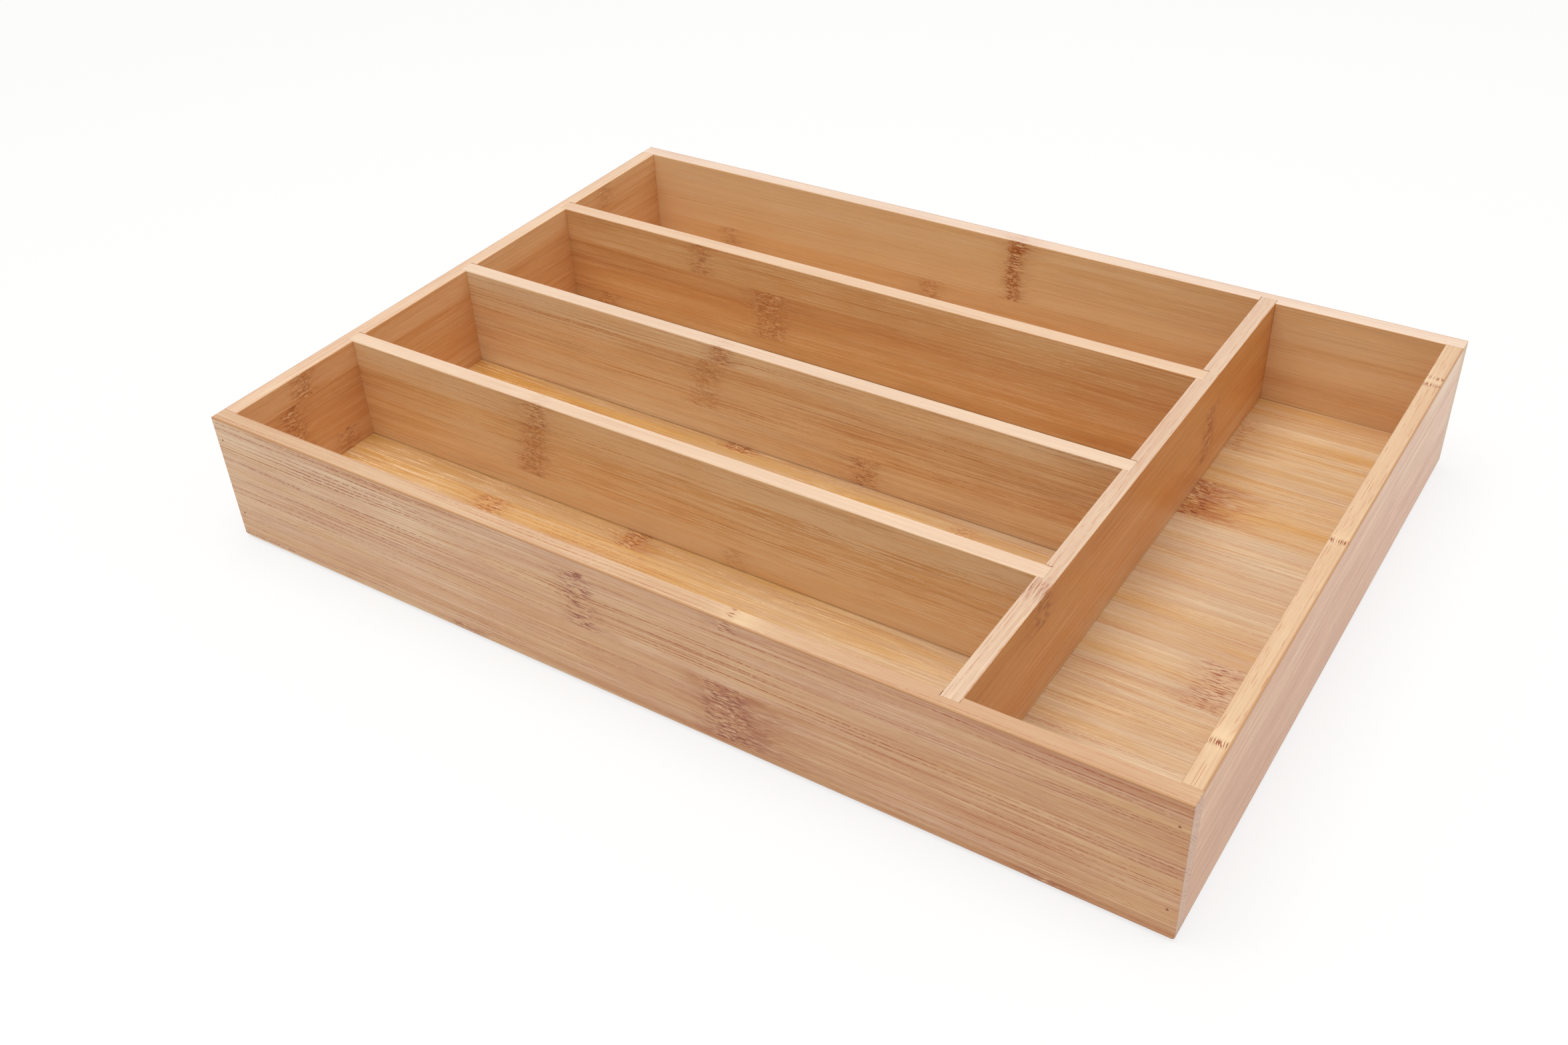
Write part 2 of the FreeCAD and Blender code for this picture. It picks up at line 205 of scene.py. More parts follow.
def fibreGroup():
    tree, given, out = newGroup(
        "bambooFibre", "ShaderNodeTree",
        [("Spot", vectorSocket), ("Cool wood and sheen", colourSocket), ("Wood warm", colourSocket),
         ("Warmth", numberSocket), ("Light", numberSocket), ("Marks", vectorSocket), ("Calm", numberSocket),
         ("Lines", numberSocket), ("Pale fibres and glints", numberSocket), ("Nicks", numberSocket)],
        [("Colour", colourSocket), ("Rough", numberSocket), ("Height", numberSocket)])
    get = given.outputs
    core, stain, dashes = addNode(tree, "ShaderNodeSeparateXYZ", {0: get["Marks"]}).outputs

    # the fibres lean aside a little everywhere, and more at a knuckle; noise swings half its span each way
    sway = 0.0
    spread = addNode(tree, "ShaderNodeMath", {0: stain}, operation="ABSOLUTE")
    for name, share in (("wave", 1.0), ("swirl", spread)):
        along, across = fibre[name]
        scaled = addNode(tree, "ShaderNodeVectorMath", operation="MULTIPLY", feeds={
            0: get["Spot"], 1: (1 / along, 1 / across, 1 / across)})
        noise = addNode(tree, "ShaderNodeTexNoise", {
            "Vector": scaled, "Scale": 1.0, "Detail": fibre["swayDetail"]})
        reach = addNode(tree, "ShaderNodeMath", operation="MULTIPLY", feeds={
            0: share, 1: 2 * fibre[name + "Reach"]})
        sway = addNode(tree, "ShaderNodeMath", {0: noise, 1: reach, 2: sway}, operation="MULTIPLY_ADD")
    aside = addNode(tree, "ShaderNodeCombineXYZ", {1: sway, 2: sway})
    grain = addNode(tree, "ShaderNodeVectorMath", {0: get["Spot"], 1: aside}, operation="ADD")

    patterns = {}
    for name, (along, across) in fibre["patterns"].items():
        scaled = addNode(tree, "ShaderNodeVectorMath", operation="MULTIPLY", feeds={
            0: grain, 1: (1 / along, 1 / across, 1 / across)})
        patterns[name] = addNode(tree, "ShaderNodeTexNoise", {
            "Vector": scaled, "Scale": 1.0, "Detail": fibre["patternDetail"]})
    cuts = {}
    for name, (begins, whole, least) in fibre["cuts"].items():
        cuts[name] = addNode(tree, "ShaderNodeMapRange", {
            "Value": patterns[name], "From Min": begins, "From Max": whole, "To Min": least})

    # thin lines lie in rows, each at its own place in its row, and come and go along the grain
    ways = addNode(tree, "ShaderNodeSeparateXYZ", {0: grain}).outputs
    over = addNode(tree, "ShaderNodeMath", {0: ways[1], 1: ways[2]}, operation="ADD")
    leftmost, rightmost = fibre["rowMiddle"]
    for name, (apart, long, foot, crown, begins, whole) in fibre["rows"].items():
        row = addNode(tree, "ShaderNodeMath", {0: over, 1: apart}, operation="DIVIDE")
        rowNumber = addNode(tree, "ShaderNodeMath", {0: row}, operation="FLOOR")
        rowPart = addNode(tree, "ShaderNodeMath", {0: row}, operation="FRACT")
        chance = addNode(tree, "ShaderNodeTexWhiteNoise", {"W": rowNumber}, noise_dimensions="1D")
        middle = addNode(tree, "ShaderNodeMapRange", {
            "Value": chance, "To Min": leftmost, "To Max": rightmost})
        off = addNode(tree, "ShaderNodeMath", {0: rowPart, 1: middle}, operation="SUBTRACT")
        away = addNode(tree, "ShaderNodeMath", {0: off}, operation="ABSOLUTE")
        thin = addNode(tree, "ShaderNodeMapRange", {
            "Value": away, "From Min": foot / 2 / apart, "From Max": crown / 2 / apart})
        reach = addNode(tree, "ShaderNodeMath", {0: ways[0], 1: long}, operation="DIVIDE")
        beside = addNode(tree, "ShaderNodeMath", {0: rowNumber, 1: fibre["rowStep"]}, operation="MULTIPLY")
        place = addNode(tree, "ShaderNodeCombineXYZ", {0: reach, 1: beside})
        life = addNode(tree, "ShaderNodeTexNoise", {
            "Vector": place, "Scale": 1.0, "Detail": fibre["patternDetail"]})
        shown = addNode(tree, "ShaderNodeMapRange", {"Value": life, "From Min": begins, "From Max": whole})
        cuts[name] = addNode(tree, "ShaderNodeMath", {0: thin, 1: shown}, operation="MULTIPLY")

    tone = get["Light"]
    for name, weight in fibre["toneWeights"].items():
        centred = addNode(tree, "ShaderNodeMath", {0: patterns[name], 1: noiseMiddle}, operation="SUBTRACT")
        calmed = addNode(tree, "ShaderNodeMath", {0: centred, 1: get["Calm"]}, operation="MULTIPLY")
        tone = addNode(tree, "ShaderNodeMath", {0: calmed, 1: weight, 2: tone}, operation="MULTIPLY_ADD")
    # pinkish patches among yellower ones: partly the wood's own hue, partly painted sheen
    hue = addNode(tree, "ShaderNodeMath", {0: patterns["hue"], 1: noiseMiddle}, operation="SUBTRACT")
    warmth = addNode(tree, "ShaderNodeMath", operation="MULTIPLY_ADD", use_clamp=True, feeds={
        0: hue, 1: fibre["hueGain"], 2: get["Warmth"]})
    now = addNode(tree, "ShaderNodeMix", data_type="RGBA", feeds={
        0: warmth, 6: get["Cool wood and sheen"], 7: get["Wood warm"]})

    # each layer's share is the product of its factors, and it is laid over what is under it
    offCore = addNode(tree, "ShaderNodeMath", {0: 1.0, 1: core}, operation="SUBTRACT", use_clamp=True)
    gains = fibre["gains"]
    layers = {
        "dark": (-fibre["toneGain"], tone),
        "pale": (fibre["toneGain"], tone),
        "line": (gains["line"], cuts["line"], cuts["crowd"], cuts["fray"], offCore, get["Lines"]),
        # pale threads: partly pale fibres, partly painted glints where light catches raised fibres
        "paleFibreGlint": (gains["paleFibreGlint"], cuts["paleFibreGlint"], cuts["gather"], cuts["fray"], offCore, get["Pale fibres and glints"]),
        "nick": (gains["nick"], cuts["nick"], offCore, get["Nicks"]),
        "bleach": (-gains["bleach"], stain),
        "stain": (gains["stain"], stain, cuts["streak"]),
        "patch": (gains["patch"], core, cuts["patch"]),
        "chip": (gains["chip"], core, cuts["chip"]),
        "dash": (gains["dash"], dashes, cuts["dash"]),
        "tick": (gains["tick"], dashes, cuts["tick"], get["Nicks"]),
        "dot": (gains["dot"], core, cuts["dot"]),
    }
    shares = {}
    for name, factors in layers.items():
        share = factors[0]
        for factor in factors[1:]:
            share = addNode(tree, "ShaderNodeMath", {0: share, 1: factor}, operation="MULTIPLY")
        share.use_clamp = True
        shares[name] = share
        now = addNode(tree, "ShaderNodeMix", data_type="RGBA", feeds={
            0: share, 6: now.outputs[2], 7: toLinear(fibre["colours"][name])})

    smooth, rougher = fibre["rough"]
    rough = addNode(tree, "ShaderNodeMath", operation="MULTIPLY_ADD", feeds={
        0: shares["line"], 1: rougher, 2: smooth})
    height = 0.0
    for name, rise in fibre["heights"].items():
        height = addNode(tree, "ShaderNodeMath", operation="MULTIPLY_ADD", feeds={
            0: shares[name], 1: rise, 2: height})
    tree.links.new(now.outputs[2], out.inputs["Colour"])
    tree.links.new(rough.outputs[0], out.inputs["Rough"])
    tree.links.new(height.outputs[0], out.inputs["Height"])
    return tree


knuckleTree = knuckleGroup()
fibreTree = fibreGroup()
print("bamboo groups built")

# One dictionary for each board, with sizes in mm.
# axes: the ways of the grain, across the strips and through the board. seed: where its pattern starts.
# cool, warm: pinkish and yellower colours of the face, between which warmth chooses; the pinkish patches
# are partly the wood's own hue, partly painted sheen. rim: wood colour of the rim.
# firstJoint: the lowest glue line. calm, rimCalm: how much of the tone pattern face and rim keep.
# slope: how much paler a strip's upper edge is than its lower, partly painted light and shade. nicks:
# strength of the rim's dark cuts. lightEnds, warmEnds: what a face's two ends gain in lightness and warmth,
# partly the wood's own drift along the board, partly painted light and shade. paleFibreGlintEnds: times its
# pale threads and glints.
# strips: the one below firstJoint, those above it, the rim: lightness and warmth (partly painted light and
# shade), pale threads and painted glints, dark lines.
# knuckles: strip, place along the grain, half width, lean, smear, then the strength of its core, stain and
# dashes. A stain below 0 bleaches.
frontWall = {
    "node": "front_wall", "axes": "XZY", "seed": 1.0,
    "cool": "#D3A786", "warm": "#D5A572", "rim": "#C49C76",
    "firstJoint": 3.75, "stripWidth": 21.4, "calm": 1.0, "rimCalm": 0.45, "slope": 0.0, "nicks": 0.15,
    # the front face's right end is darker: partly the wood, partly painted shade
    "lightEnds": (0.08, -0.2), "warmEnds": (0.06, 0.04), "paleFibreGlintEnds": (1.0, 1.0),
    "strips": [
        (-0.06, 1.0, 0.15, 0.7), (-0.01, 0.65, 0.2, 0.7), (0.04, 0.55, 0.2, 0.85), (-0.03, 0.4, 0.15, 0.95),
        (0.0, 0.5, 0.15, 0.5),
    ],
    "knuckles": [
        (2, -17, 4.2, -3.5, 4, 0.4, 0.25, 1.2), (1, 36, 5.2, -2, 10, 0.8, 2.0, 1.8),
        (0, -69, 6, 0, 3, 0.8, 0.4, 0.6), (0, 138, 4.5, 0, 3, 1.0, 0.8, 0.9),
        (3, 37.6, 3.0, 0, 5, 0.7, 0.6, 1.0), (4, 37.6, 1.0, 0, 5, 0.0, -0.6, 0.8),
    ],
}
backWall = {
    "node": "back_wall", "axes": "XZY", "seed": 2.0,
    "cool": "#E6C292", "warm": "#E5B980", "rim": "#DEC3AC",
    "firstJoint": 3.8, "stripWidth": 20.8, "calm": 0.5, "rimCalm": 0.5, "slope": 0.0, "nicks": 0.1,
    "lightEnds": (0.09, -0.09), "warmEnds": (-0.03, 0.03), "paleFibreGlintEnds": (1.0, 1.0),
    "strips": [
        (0.0, 0.6, 0.2, 0.1), (-0.04, 0.45, 0.3, 0.12), (0.02, 0.3, 0.4, 0.12), (-0.01, 0.45, 0.4, 0.12),
        (0.0, 0.5, 0.1, 0.15),
    ],
    "knuckles": [
        (3, 7, 3.2, 0, 3, 2.0, 1.2, 0.6), (2, 6, 2.8, 1, 2, 1.5, 0.8, 0.8),
        (1, -31, 4, 0, -5, 0.7, 0.4, 0.25), (1, -130, 4, 0, 5, 0.5, 0.4, 0.3),
        (4, 7, 2.5, 0, 4, 0.1, 0.35, 0.2),
    ],
}
leftWall = {
    "node": "left_wall", "axes": "YZX", "seed": 3.0,
    "cool": "#DAA976", "warm": "#D79C64", "rim": "#DAB897",
    "firstJoint": 20.0, "stripWidth": 21.0, "calm": 0.6, "rimCalm": 0.7, "slope": -0.05, "nicks": 0.2,
    "lightEnds": (0.02, -0.02), "warmEnds": (0.24, -0.24), "paleFibreGlintEnds": (1.0, 1.0),
    "strips": [
        (-0.02, 0.45, 0.2, 0.12), (-0.05, 0.7, 0.2, 0.12), (0.0, 0.45, 0.2, 0.12),
        (0.0, 0.5, 0.1, 0.2),
    ],
    "knuckles": [
        (2, -90, 3.8, 0, 2, 0.9, 0.6, 0.5), (1, -98, 3.5, 0, 2, 1.0, 0.7, 0.7),
        (0, -76, 4, 0, -3, 0.8, 0.4, 0.5), (2, 84, 3.5, 2, 0, 0.5, 0.3, 0.3),
    ],
}
rightWall = {
    "node": "right_wall", "axes": "YZX", "seed": 4.0,
    "cool": "#D6A27D", "warm": "#D39B6B", "rim": "#D2AE88",
    "firstJoint": 20.4, "stripWidth": 21.6, "calm": 1.1, "rimCalm": 0.4, "slope": 0.08, "nicks": 1.0,
    "lightEnds": (-0.09, 0.08), "warmEnds": (0.5, -0.45), "paleFibreGlintEnds": (1.0, 1.0),
    "strips": [
        # the lowest strip is darker, partly as painted shade at the foot of the face
        (-0.1, 0.45, 0.4, 0.2), (0.01, 0.55, 0.4, 0.2), (0.02, 0.4, 0.4, 0.15),
        (0.0, 0.5, 0.15, 0.25),
    ],
    "knuckles": [
        (1, 45, 4, 2, 0, 0.15, 0.15, 0.15), (0, -6, 4, 0, -4, 0.15, 0.15, 0.15),
        (3, -6.5, 0.7, 0, 2, 0.0, -0.4, 1.2), (3, 90.6, 0.7, 0, 0, 0.0, 0.0, 1.0),
        (3, 95.4, 0.7, 0, -2, 0.0, -0.4, 1.0), (3, -102, 0.8, -1.5, 3, 0.0, -0.6, 1.2),
    ],
}
crossDivider = {
    "node": "cross_divider", "axes": "YZX", "seed": 5.0,
    "cool": "#D89D59", "warm": "#D5924B", "rim": "#D0B094",
    "firstJoint": 18.4, "stripWidth": 21.3, "calm": 0.7, "rimCalm": 0.5, "slope": -0.06, "nicks": 0.8,
    "lightEnds": (0.03, -0.05), "warmEnds": (-0.12, 0.12), "paleFibreGlintEnds": (1.0, 1.0),
    "strips": [
        (0.14, 0.45, 0.2, 0.3), (-0.03, 0.55, 0.2, 0.3), (-0.1, 0.8, 0.25, 0.3),
        (0.0, 0.5, 0.2, 0.35),
    ],
    "knuckles": [
        (2, -71, 4.6, 0, -5, 0.3, 0.4, 1.0), (1, 61, 3.8, 2, 0, 0.8, 0.4, 1.0),
        (0, -115, 2.5, 0, 0, 0.6, 0.6, 0.6), (3, -69, 3.0, 0, 0, 0.0, 0.3, 0.8),
    ],
}
frontDivider = {
    "node": "front_divider", "axes": "XZY", "seed": 6.0,
    "cool": "#EBCDA1", "warm": "#E9BD82", "rim": "#D9B99B",
    "firstJoint": 19.4, "stripWidth": 21.4, "calm": 0.8, "rimCalm": 0.4, "slope": -0.18, "nicks": 0.1,
    "lightEnds": (-0.01, 0.01), "warmEnds": (-0.01, 0.01), "paleFibreGlintEnds": (0.1, 4.0),
    "strips": [
        (0.08, 0.65, 0.15, 0.15), (-0.01, 0.85, 0.9, 0.25), (-0.02, 0.55, 0.7, 0.35),
        (0.0, 0.5, 0.1, 0.1),
    ],
    "knuckles": [
        (2, -83, 4, 0, -6, 0.8, 0.6, 0.7), (1, -86.5, 5.2, 3, -2, 1.0, 0.45, 0.4),
        (0, -3.4, 3.6, 0, 2, 0.3, 0.25, 0.3), (3, -83, 3.0, 0, 0, 0.0, 0.15, 0.2),
    ],
}
middleDivider = {
    "node": "middle_divider", "axes": "XZY", "seed": 7.0,
    "cool": "#E2C9A3", "warm": "#E0B581", "rim": "#D8B99D",
    "firstJoint": 22.8, "stripWidth": 21.0, "calm": 0.95, "rimCalm": 0.4, "slope": 0.02, "nicks": 0.1,
    "lightEnds": (0.04, -0.07), "warmEnds": (-0.13, 0.13), "paleFibreGlintEnds": (0.4, 1.5),
    "strips": [
        (0.06, 0.5, 0.2, 0.15), (-0.01, 0.8, 0.6, 0.45), (0.09, 0.6, 0.6, 0.45),
        (0.0, 0.5, 0.1, 0.1),
    ],
    "knuckles": [
        (2, -49.4, 3.6, 0, 2, 0.9, 0.8, 0.7), (1, -56.5, 5.0, 5, -1, 0.6, 0.2, 0.35),
        (0, 10, 4, 0, -4, 0.7, 0.5, 0.7), (3, -50, 3.0, 0, 0, 0.0, 0.15, 0.2),
    ],
}
rearDivider = {
    "node": "rear_divider", "axes": "XZY", "seed": 8.0,
    "cool": "#DDB580", "warm": "#D9A268", "rim": "#D7B492",
    "firstJoint": 16.8, "stripWidth": 21.0, "calm": 0.7, "rimCalm": 0.4, "slope": -0.12, "nicks": 0.1,
    "lightEnds": (-0.06, 0.04), "warmEnds": (-0.12, 0.12), "paleFibreGlintEnds": (0.6, 1.2),
    "strips": [
        (-0.03, 0.5, 0.2, 0.1), (-0.05, 0.7, 0.35, 0.2), (-0.03, 0.55, 0.5, 0.2),
        (0.0, 0.5, 0.1, 0.1),
    ],
    "knuckles": [
        (2, -100.6, 4.2, 2, 0, 0.7, 0.3, 0.5), (1, -69.6, 7.0, 0, 0, 1.0, 0.3, 0.4),
        (0, -151, 5, 0, -2, 0.6, 0.4, 0.4),
    ],
}
basePanel = {
    "node": "base_panel", "axes": "XYZ", "seed": 9.0,
    "cool": "#C9AB87", "warm": "#CA9952", "rim": "#CA9952",
    "firstJoint": -117.0, "stripWidth": 22.0, "calm": 0.65, "rimCalm": 1.0, "slope": 0.05, "nicks": 0.0,
    # warmEnds here is painted warm bounce light: warmer in the narrow lanes on the left, cooler towards the
    # open right end
    "lightEnds": (0.0, 0.0), "warmEnds": (0.5, -0.4), "paleFibreGlintEnds": (1.1, 0.4),
    "strips": [
        (0.0, 0.5, 0.5, 0.4), (-0.01, 0.45, 0.4, 0.4), (0.02, 0.45, 0.8, 0.5), (-0.01, 0.4, 0.8, 0.45),
        (0.0, 0.5, 0.6, 0.45), (-0.04, 0.6, 0.5, 0.4), (-0.03, 0.35, 0.6, 0.4), (0.02, 0.4, 0.7, 0.4),
        (0.03, 1.0, 0.5, 0.4), (0.03, 0.7, 0.6, 0.4), (0.06, 0.7, 0.4, 0.35), (-0.09, 0.8, 0.4, 0.4),
        (0.0, 0.5, 0.4, 0.4),
    ],
    "knuckles": [
        (3, -42, 4, 0, 5, 0.9, 0.9, 1.0), (2, -99, 4, 0, -3, 0.9, 0.9, 1.0),
        (6, -42, 4, 0, -2, 1.5, 0.9, 2.0), (5, 52, 4, 0, 3, 0.6, 0.4, 0.4),
        (8, 113, 4, 0, 8, 0.8, 2.1, 1.2), (4, 152.4, 4.6, 0, -3, 0.2, 0.6, 0.9),
        (10, 111.6, 3, 0, 6, 0.5, 0.3, 0.4),
    ],
}
outerBoards = [frontWall, backWall, leftWall, rightWall]
boards = outerBoards + [crossDivider, frontDivider, middleDivider, rearDivider, basePanel]
gapShadowBoards = [frontDivider, middleDivider, rearDivider, backWall]    # painted shadow in the gap at their feet shows on the floor panel

# A face that looks along the grain is a sawn end, and one that looks across the strips is the rim
turning = {
    "fade": (0.5, 0.8),           # size of the normal that way: not yet, and wholly
    "rimFrom": 0.65,              # from here on the rim's own strip shows
}

# Every strip was cut from another cane, so its pattern comes from another place
cane = {
    "stripStep": 1.37,
    "boardStep": 17.3,
    "jump": (311.0, 57.0, 23.0),  # mm for each whole step
}

# Marks where boards end or meet: a darker outer arris, grey sawn ends, and painted shadow in the gap where
# boards stand on the floor panel
wearAndShade = {
    "arrisWidth": 0.8,            # mm, a darker band along the rim's outer arris
    "arrisCore": 1 / 2,           # part of that width with the whole share
    "arrisColour": "#B07A45",
    "arrisShare": 0.8,
    "gapShadowWidth": 0.8,             # mm, a brown line of painted shadow in the gap where a board stands on the floor panel
    "gapShadowCore": 1 / 3,
    "gapShadowReach": 1.0,             # mm, as far as the distance to a board is worked out
    "gapShadowColour": "#8A5A30",
    "gapShadowShare": 0.35,
    "endGrainColour": "#B58E74",  # sawn ends drink the lacquer and go grey
    "endGrainShare": 0.4,
}

# Clear satin lacquer, sprayed thin: the grain can still be felt through it
lacquer = {
    "ior": 1.5,
    "coat": 0.25,
    "coatRough": 0.3,
    "relief": 0.1,                # bump strength
    "reliefDepth": 0.1 * millimetre,
}


def boxInMillimetres(board):
    return [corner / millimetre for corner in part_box(board["node"])]


def knuckleMarks(tree, board, along, spot, strip, inStrip):
    ragAlong, ragAcross = knuckle["ragged"]
    ragSpot = addNode(tree, "ShaderNodeVectorMath", operation="MULTIPLY", feeds={
        0: spot, 1: (1 / ragAlong, 1 / ragAcross, 1 / ragAcross)})
    ragNoise = addNode(tree, "ShaderNodeTexNoise", {
        "Vector": ragSpot, "Scale": 1.0, "Detail": knuckle["raggedDetail"],
        "Roughness": knuckle["raggedRough"]})
    ragged = addNode(tree, "ShaderNodeMath", {0: ragNoise, 1: noiseMiddle}, operation="SUBTRACT")
    marks = (0.0, 0.0, 0.0)
    for stripNumber, place, half, lean, smear, core, stain, dashes in board["knuckles"]:
        marks = addNode(tree, "ShaderNodeGroup", node_tree=knuckleTree, feeds={
            "Marks": marks, "Along": along, "Ragged": ragged, "Strip": strip, "In strip": inStrip,
            "Strip number": stripNumber, "Place": place, "Half width": half, "Lean": lean, "Smear": smear,
            "Core": core, "Stain": stain, "Dashes": dashes})
    return marks


# a darker band along the outer arris of the rim
def outerArris(tree, board, across, depth):
    low, high = boxInMillimetres(board)
    through = "XYZ".index(board["axes"][2])
    outer = max(low[through], high[through], key=abs)
    inward = addNode(tree, "ShaderNodeMath", {0: depth, 1: outer}, operation="SUBTRACT")
    fromFace = addNode(tree, "ShaderNodeMath", {0: inward}, operation="ABSOLUTE")
    below = addNode(tree, "ShaderNodeMath", {0: high.z, 1: across}, operation="SUBTRACT")
    fromArris = addNode(tree, "ShaderNodeMath", {0: fromFace, 1: below}, operation="ADD")
    return addNode(tree, "ShaderNodeMapRange", {
        "Value": fromArris, "From Min": wearAndShade["arrisWidth"],
        "From Max": wearAndShade["arrisWidth"] * wearAndShade["arrisCore"], "To Max": wearAndShade["arrisShare"]})


# painted shadow: a dark brown line on the floor panel round the feet of the boards standing on it
def paintedGapShadow(tree, inMillimetres):
    nearest = wearAndShade["gapShadowReach"]
    for standing in gapShadowBoards:
        low, high = boxInMillimetres(standing)
        away = addNode(tree, "ShaderNodeVectorMath", operation="SUBTRACT", feeds={
            0: inMillimetres, 1: (low + high) / 2})
        aside = addNode(tree, "ShaderNodeVectorMath", {0: away}, operation="ABSOLUTE")
        outside = addNode(tree, "ShaderNodeVectorMath", operation="SUBTRACT", feeds={
            0: aside, 1: (high - low) / 2})
        sides = addNode(tree, "ShaderNodeSeparateXYZ", {0: outside}).outputs
        level = addNode(tree, "ShaderNodeMath", {0: sides[0], 1: sides[1]}, operation="MAXIMUM")
        gap = addNode(tree, "ShaderNodeMath", {0: level, 1: sides[2]}, operation="MAXIMUM")
        nearest = addNode(tree, "ShaderNodeMath", {0: gap, 1: nearest}, operation="MINIMUM")
    return addNode(tree, "ShaderNodeMapRange", {
        "Value": nearest, "From Min": wearAndShade["gapShadowWidth"],
        "From Max": wearAndShade["gapShadowWidth"] * wearAndShade["gapShadowCore"], "To Max": wearAndShade["gapShadowShare"]})


def dressBoard(board):
    material, tree, out = newMaterial("lacqueredStripBamboo_" + board["node"])
    where = addNode(tree, "ShaderNodeTexCoord")
    inMillimetres = addNode(tree, "ShaderNodeVectorMath", operation="SCALE", feeds={
        0: where.outputs["Object"], "Scale": 1 / millimetre})
    split = addNode(tree, "ShaderNodeSeparateXYZ", {0: inMillimetres})
    facing = addNode(tree, "ShaderNodeSeparateXYZ", {0: where.outputs["Normal"]})
    order = ["XYZ".index(axis) for axis in board["axes"]]
    along, across, depth = [split.outputs[i] for i in order]
    turned = [addNode(tree, "ShaderNodeMath", {0: facing.outputs[i]}, operation="ABSOLUTE")
              for i in order[:2]]
    fadeFrom, fadeTo = turning["fade"]
    sawn, rim = [addNode(tree, "ShaderNodeMapRange", {
        "Value": turn, "From Min": fadeFrom, "From Max": fadeTo}) for turn in turned]

    # which strip this is, and how far up in it, from -0.5 to 0.5; the rim counts as a strip of its own
    width = board["stripWidth"]
    count = len(board["strips"])
    row = addNode(tree, "ShaderNodeMath", operation="MULTIPLY_ADD", feeds={
        0: across, 1: 1 / width, 2: 1 - board["firstJoint"] / width})
    level = addNode(tree, "ShaderNodeMath", {0: row}, operation="FLOOR")
    part = addNode(tree, "ShaderNodeMath", {0: row}, operation="FRACT")
    inStrip = addNode(tree, "ShaderNodeMath", {0: part, 1: 0.5}, operation="SUBTRACT")
    onRim = addNode(tree, "ShaderNodeMath", {0: turned[1], 1: turning["rimFrom"]}, operation="GREATER_THAN")
    strip = addNode(tree, "ShaderNodeMix", {0: onRim, 2: level, 3: count - 1})

    # a ramp with a step for each strip holds its lightness in red, warmth in green, pale threads and
    # painted glints in blue and lines in alpha; a colour can't go below 0, so lightness is lifted there
    lift = 0.5
    chosen = addNode(tree, "ShaderNodeMath", operation="MULTIPLY_ADD", feeds={
        0: strip, 1: 1 / count, 2: 0.5 / count})
    stops = [(i / count, (lift + lightness, warmth, paleFibreGlints, lines))
             for i, (lightness, warmth, paleFibreGlints, lines) in enumerate(board["strips"])]
    ramp = addNode(tree, "ShaderNodeValToRGB", {0: chosen}, stops=stops)
    ramp.color_ramp.interpolation = "CONSTANT"
    shown = addNode(tree, "ShaderNodeSeparateColor", {0: ramp})
    even = addNode(tree, "ShaderNodeMath", {0: shown, 1: lift}, operation="SUBTRACT")
    light = addNode(tree, "ShaderNodeMath", operation="MULTIPLY_ADD", feeds={
        0: inStrip, 1: board["slope"], 2: even})
    calm = addNode(tree, "ShaderNodeMapRange", {
        "Value": rim, "To Min": board["calm"], "To Max": board["rimCalm"]})
    nicks = addNode(tree, "ShaderNodeMath", {0: rim, 1: board["nicks"]}, operation="MULTIPLY")

    # a face changes from one end of the board to the other, and the rim doesn't: partly the wood's own
    # drift, partly painted light and shade, and more painted glints where the pale threads gather
    low, high = boxInMillimetres(board)
    length = addNode(tree, "ShaderNodeMapRange", {
        "Value": along, "From Min": low[order[0]], "From Max": high[order[0]]})
    toned = {}
    for name, before, how, nothing in (("lightEnds", light, "ADD", 0.0),
                                       ("warmEnds", shown.outputs["Green"], "ADD", 0.0),
                                       ("paleFibreGlintEnds", shown.outputs["Blue"], "MULTIPLY", 1.0)):
        atStart, atEnd = board[name]
        trend = addNode(tree, "ShaderNodeMapRange", {"Value": length, "To Min": atStart, "To Max": atEnd})
        onFace = addNode(tree, "ShaderNodeMix", {0: rim, 2: trend, 3: nothing})
        toned[name] = addNode(tree, "ShaderNodeMath", {0: before, 1: onFace}, operation=how)

    seed = addNode(tree, "ShaderNodeMath", operation="MULTIPLY_ADD", feeds={
        0: strip, 1: cane["stripStep"], 2: board["seed"] * cane["boardStep"]})
    here = addNode(tree, "ShaderNodeCombineXYZ", {0: along, 1: across, 2: depth})
    jump = addNode(tree, "ShaderNodeVectorMath", {0: cane["jump"], "Scale": seed}, operation="SCALE")
    spot = addNode(tree, "ShaderNodeVectorMath", {0: here, 1: jump}, operation="ADD")
    marks = knuckleMarks(tree, board, along, spot, strip, inStrip)
    cool, warm = [addNode(tree, "ShaderNodeMix", data_type="RGBA", feeds={
        0: rim, 6: toLinear(board[name]), 7: toLinear(board["rim"])}) for name in ("cool", "warm")]
    bamboo = addNode(tree, "ShaderNodeGroup", node_tree=fibreTree, feeds={
        "Spot": spot, "Cool wood and sheen": cool.outputs[2], "Wood warm": warm.outputs[2],
        "Warmth": toned["warmEnds"], "Light": toned["lightEnds"], "Marks": marks, "Calm": calm,
        "Lines": ramp.outputs["Alpha"], "Pale fibres and glints": toned["paleFibreGlintEnds"], "Nicks": nicks})

    # then a darker band on the outer arris, grey end grain, and painted gap shadow on the floor panel
    layers = []
    if board in outerBoards:
        layers.append((outerArris(tree, board, across, depth), wearAndShade["arrisColour"]))
    ends = addNode(tree, "ShaderNodeMath", {0: sawn, 1: wearAndShade["endGrainShare"]}, operation="MULTIPLY")
    layers.append((ends, wearAndShade["endGrainColour"]))
